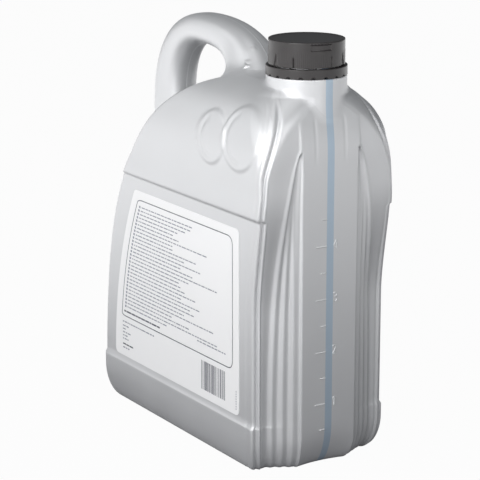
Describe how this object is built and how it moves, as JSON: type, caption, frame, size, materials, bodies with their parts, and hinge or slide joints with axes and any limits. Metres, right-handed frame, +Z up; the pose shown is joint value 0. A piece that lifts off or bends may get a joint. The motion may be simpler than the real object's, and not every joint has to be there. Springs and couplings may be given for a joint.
{
  "type": "transmission fluid bottle",
  "caption": "Tall blow-moulded bottle with a hollow carrying grip, a view stripe, a screw cap with a liner, a tamper band and a side label.",
  "frame": {"origin": "middle of the base, on the plane it stands on", "axes": "+Z up, +X to the front with the view stripe and the neck, the grip at the back, the label on the -Y side"},
  "size_m": [0.245, 0.116, 0.315],
  "materials": {
    "silver_hdpe": "satin",
    "black_pp": "satin",
    "liner_foam": "matte",
    "label_film": "gloss"
  },
  "bodies": {
    "bottle": {"bottle": "silver_hdpe", "tamper_band": "black_pp", "label": "label_film"},
    "liner": {"cap_liner": "liner_foam"},
    "cap": {"cap": "black_pp"}
  },
  "joints": [
    {"name": "cap_lift", "type": "slide", "parent": "bottle", "child": "liner", "axis": [0, 0, 1], "range_m": [0, 0.02]},
    {"name": "cap_turn", "type": "hinge", "parent": "liner", "child": "cap", "pos_m": [0.09, 0, 0.3], "axis": [0, 0, 1], "range_deg": [0, 1800]}
  ],
  "couplings": [
    {"joint": "cap_turn", "follows": "cap_lift", "rad_per_m": 1570.8}
  ]
}
